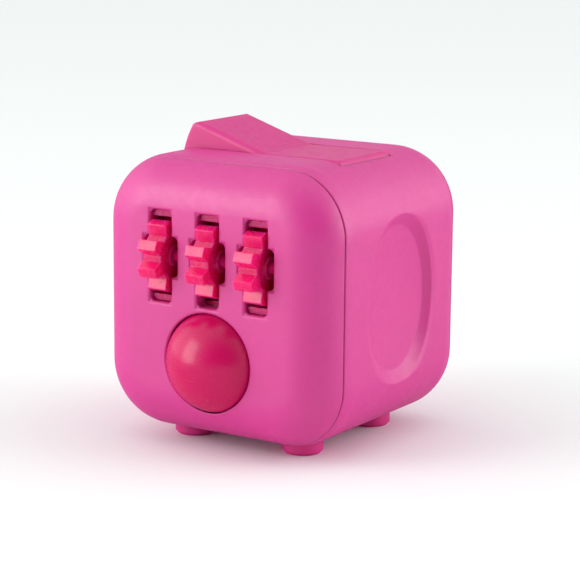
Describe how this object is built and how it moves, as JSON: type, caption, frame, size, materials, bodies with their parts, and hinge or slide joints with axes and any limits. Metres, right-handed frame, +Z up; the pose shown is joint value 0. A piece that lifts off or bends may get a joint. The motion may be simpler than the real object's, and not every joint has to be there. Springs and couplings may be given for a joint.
{
  "type": "fidget cube",
  "caption": "Hand-sized pink fidget cube: gear wheels and a click ball in front, thumb dish, flip switch, joystick, spin dial, and push buttons that it stands on.",
  "frame": {"origin": "middle of the centre button's end, on the surface that the cube stands on", "axes": "+Z up towards the flip switch, +X towards the thumb dish, -Y towards the gear wheels and ball"},
  "size_m": [0.038, 0.0386, 0.0378],
  "materials": {
    "casing_pink": "satin moulded plastic, hot pink",
    "control_pink": "satin moulded plastic, hot pink",
    "gear_pink": "glossy moulded plastic, deeper pink",
    "ball_pink": "polished moulded plastic, deep pink",
    "natural_plastic": "uncoloured moulded plastic",
    "steel": "plain steel",
    "silicone": "translucent silicone rubber"
  },
  "bodies": {
    "casing": {"front_cover": "casing_pink", "rear_cover": "casing_pink", "body_frame": "casing_pink", "gear_axle": "gear_pink", "gear_bracket": "gear_pink", "gear_bracket_screws": "steel", "ball_spring": "steel", "ball_housing": "gear_pink", "ball_housing_screws": "steel", "flip_pin": "steel", "flip_base": "natural_plastic", "flip_leaf_spring": "steel", "flip_base_screws": "steel", "joystick_spring": "steel", "joystick_housing": "natural_plastic", "joystick_housing_screws": "steel", "click_dome_front_left": "steel", "click_dome_centre": "steel", "click_dome_rear_right": "steel", "soft_dome_front_right": "silicone", "soft_dome_rear_left": "silicone", "button_board": "natural_plastic", "button_board_screws": "steel"},
    "left_gear": {"gear_left": "gear_pink"},
    "middle_gear": {"gear_middle": "gear_pink"},
    "right_gear": {"gear_right": "gear_pink"},
    "ball_carrier": {"ball_cradle": "natural_plastic"},
    "ball": {"roller_ball": "ball_pink"},
    "switch": {"flip_switch": "control_pink"},
    "gimbal": {"joystick_gimbal": "natural_plastic"},
    "joystick": {"joystick_cap": "control_pink", "joystick_stick": "control_pink", "joystick_pin": "steel"},
    "dial": {"spin_dial": "control_pink", "dial_washer": "steel", "dial_screw": "steel"},
    "front_left_button": {"button_front_left": "control_pink"},
    "front_right_button": {"button_front_right": "control_pink"},
    "centre_button": {"button_centre": "control_pink"},
    "rear_left_button": {"button_rear_left": "control_pink"},
    "rear_right_button": {"button_rear_right": "control_pink"}
  },
  "joints": [
    {"name": "left_gear_spin", "type": "hinge", "parent": "casing", "child": "left_gear", "pos_m": [-0.0067, -0.01495, 0.0233], "axis": [1, 0, 0], "continuous": true},
    {"name": "middle_gear_spin", "type": "hinge", "parent": "casing", "child": "middle_gear", "pos_m": [0, -0.01495, 0.0233], "axis": [1, 0, 0], "continuous": true},
    {"name": "right_gear_spin", "type": "hinge", "parent": "casing", "child": "right_gear", "pos_m": [0.0067, -0.01495, 0.0233], "axis": [1, 0, 0], "continuous": true},
    {"name": "ball_click", "type": "slide", "parent": "casing", "child": "ball_carrier", "axis": [0, 1, 0], "range_m": [0, 0.0008], "stiffness_N_per_m": 800, "springref_m": -0.0002, "deforming": ["ball_spring"]},
    {"name": "ball_roll", "type": "hinge", "parent": "ball_carrier", "child": "ball", "pos_m": [0, -0.0139, 0.0113], "axis": [1, 0, 0], "continuous": true},
    {"name": "switch_flip", "type": "hinge", "parent": "casing", "child": "switch", "pos_m": [0, 0, 0.03154], "axis": [0, 1, 0], "range_deg": [-18, 0], "deforming": ["flip_leaf_spring"]},
    {"name": "joystick_turn", "type": "hinge", "parent": "casing", "child": "gimbal", "pos_m": [-0.011, 0, 0.0182], "axis": [0, 0, 1], "range_deg": [-11, 11], "stiffness_Nm_per_rad": 0.01, "deforming": ["joystick_spring"]},
    {"name": "joystick_tilt", "type": "hinge", "parent": "gimbal", "child": "joystick", "pos_m": [-0.011, 0, 0.0182], "axis": [0, 1, 0], "range_deg": [-11, 11], "stiffness_Nm_per_rad": 0.01},
    {"name": "dial_spin", "type": "hinge", "parent": "casing", "child": "dial", "pos_m": [0, 0.0165, 0.0182], "axis": [0, 1, 0], "continuous": true},
    {"name": "front_left_press", "type": "slide", "parent": "casing", "child": "front_left_button", "axis": [0, 0, 1], "range_m": [0, 0.0009], "stiffness_N_per_m": 400, "springref_m": -0.0004, "deforming": ["click_dome_front_left"]},
    {"name": "front_right_press", "type": "slide", "parent": "casing", "child": "front_right_button", "axis": [0, 0, 1], "range_m": [0, 0.0009], "stiffness_N_per_m": 400, "springref_m": -0.0004, "deforming": ["soft_dome_front_right"]},
    {"name": "centre_press", "type": "slide", "parent": "casing", "child": "centre_button", "axis": [0, 0, 1], "range_m": [0, 0.0009], "stiffness_N_per_m": 400, "springref_m": -0.0004, "deforming": ["click_dome_centre"]},
    {"name": "rear_left_press", "type": "slide", "parent": "casing", "child": "rear_left_button", "axis": [0, 0, 1], "range_m": [0, 0.0009], "stiffness_N_per_m": 400, "springref_m": -0.0004, "deforming": ["soft_dome_rear_left"]},
    {"name": "rear_right_press", "type": "slide", "parent": "casing", "child": "rear_right_button", "axis": [0, 0, 1], "range_m": [0, 0.0009], "stiffness_N_per_m": 400, "springref_m": -0.0004, "deforming": ["click_dome_rear_right"]}
  ]
}
